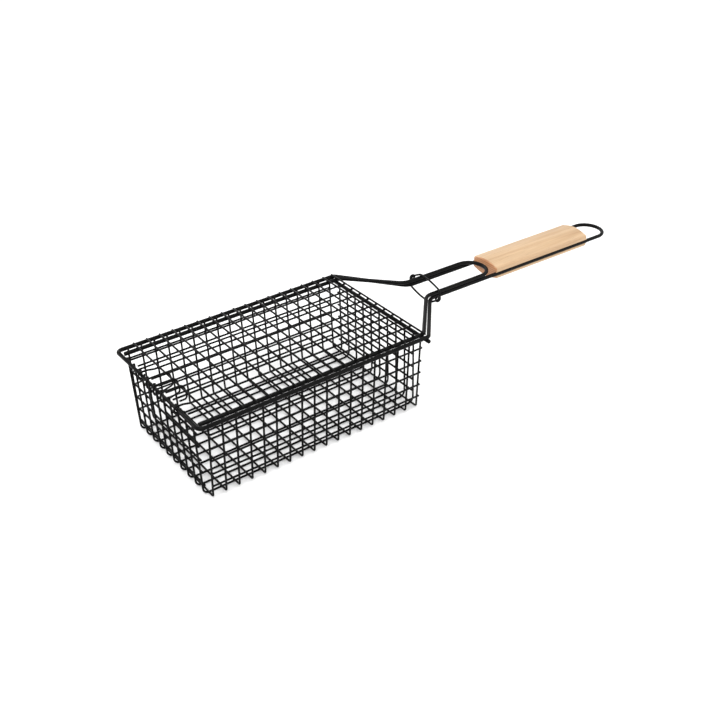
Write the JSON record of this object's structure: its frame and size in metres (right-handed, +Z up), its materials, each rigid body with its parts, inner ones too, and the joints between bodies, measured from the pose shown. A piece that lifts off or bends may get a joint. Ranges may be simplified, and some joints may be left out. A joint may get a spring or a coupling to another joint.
{
  "type": "grill basket",
  "caption": "Long-handled welded wire basket with a hinged mesh lid, a wooden grip, a sliding locking ring and a hanging loop, for holding food over a grill.",
  "frame": {"origin": "middle of the basket floor, on the plane the lowest wires rest on", "axes": "+X from the hinge end towards the handle, +Y across the basket, +Z up towards the lid"},
  "size_m": [0.5384, 0.1519, 0.0848],
  "materials": {
    "coated_wire": "satin black non-stick coating",
    "ring_wire": "dark satin spring wire",
    "wood": "clear satin, fine straight grain"
  },
  "bodies": {
    "basket": {"cross_wire_01": "coated_wire", "cross_wire_02": "coated_wire", "cross_wire_03": "coated_wire", "cross_wire_04": "coated_wire", "cross_wire_05": "coated_wire", "cross_wire_06": "coated_wire", "cross_wire_07": "coated_wire", "cross_wire_08": "coated_wire", "cross_wire_09": "coated_wire", "cross_wire_10": "coated_wire", "cross_wire_11": "coated_wire", "cross_wire_12": "coated_wire", "cross_wire_13": "coated_wire", "cross_wire_14": "coated_wire", "cross_wire_15": "coated_wire", "cross_wire_16": "coated_wire", "cross_wire_17": "coated_wire", "cross_wire_18": "coated_wire", "long_wire_01": "coated_wire", "long_wire_02": "coated_wire", "long_wire_03": "coated_wire", "long_wire_04": "coated_wire", "long_wire_05": "coated_wire", "long_wire_06": "coated_wire", "long_wire_07": "coated_wire", "long_wire_08": "coated_wire", "long_wire_09": "coated_wire", "long_wire_10": "coated_wire", "front_rows": "coated_wire", "back_rows": "coated_wire", "hinge_end_rows": "coated_wire", "handle_end_rows": "coated_wire", "basket_frame": "coated_wire", "rim_crossbar": "coated_wire", "wooden_grip": "wood"},
    "lid": {"lid_frame": "coated_wire", "lid_long_wire_1": "coated_wire", "lid_long_wire_2": "coated_wire", "lid_long_wire_3": "coated_wire", "lid_long_wire_4": "coated_wire", "lid_long_wire_5": "coated_wire", "lid_long_wire_6": "coated_wire", "lid_long_wire_7": "coated_wire", "lid_long_wire_8": "coated_wire", "lid_long_wire_9": "coated_wire", "lid_cross_wires": "coated_wire", "hinge_coil": "coated_wire"},
    "locking_ring": {"locking_ring": "ring_wire"}
  },
  "joints": [
    {"name": "lid_hinge", "type": "hinge", "parent": "basket", "child": "lid", "pos_m": [-0.1175, 0, 0.0782], "axis": [0, -1, 0], "range_deg": [0, 180]},
    {"name": "ring_slide", "type": "slide", "parent": "basket", "child": "locking_ring", "axis": [0.9999, 0, -0.0122], "range_m": [0, 0.0675]}
  ]
}
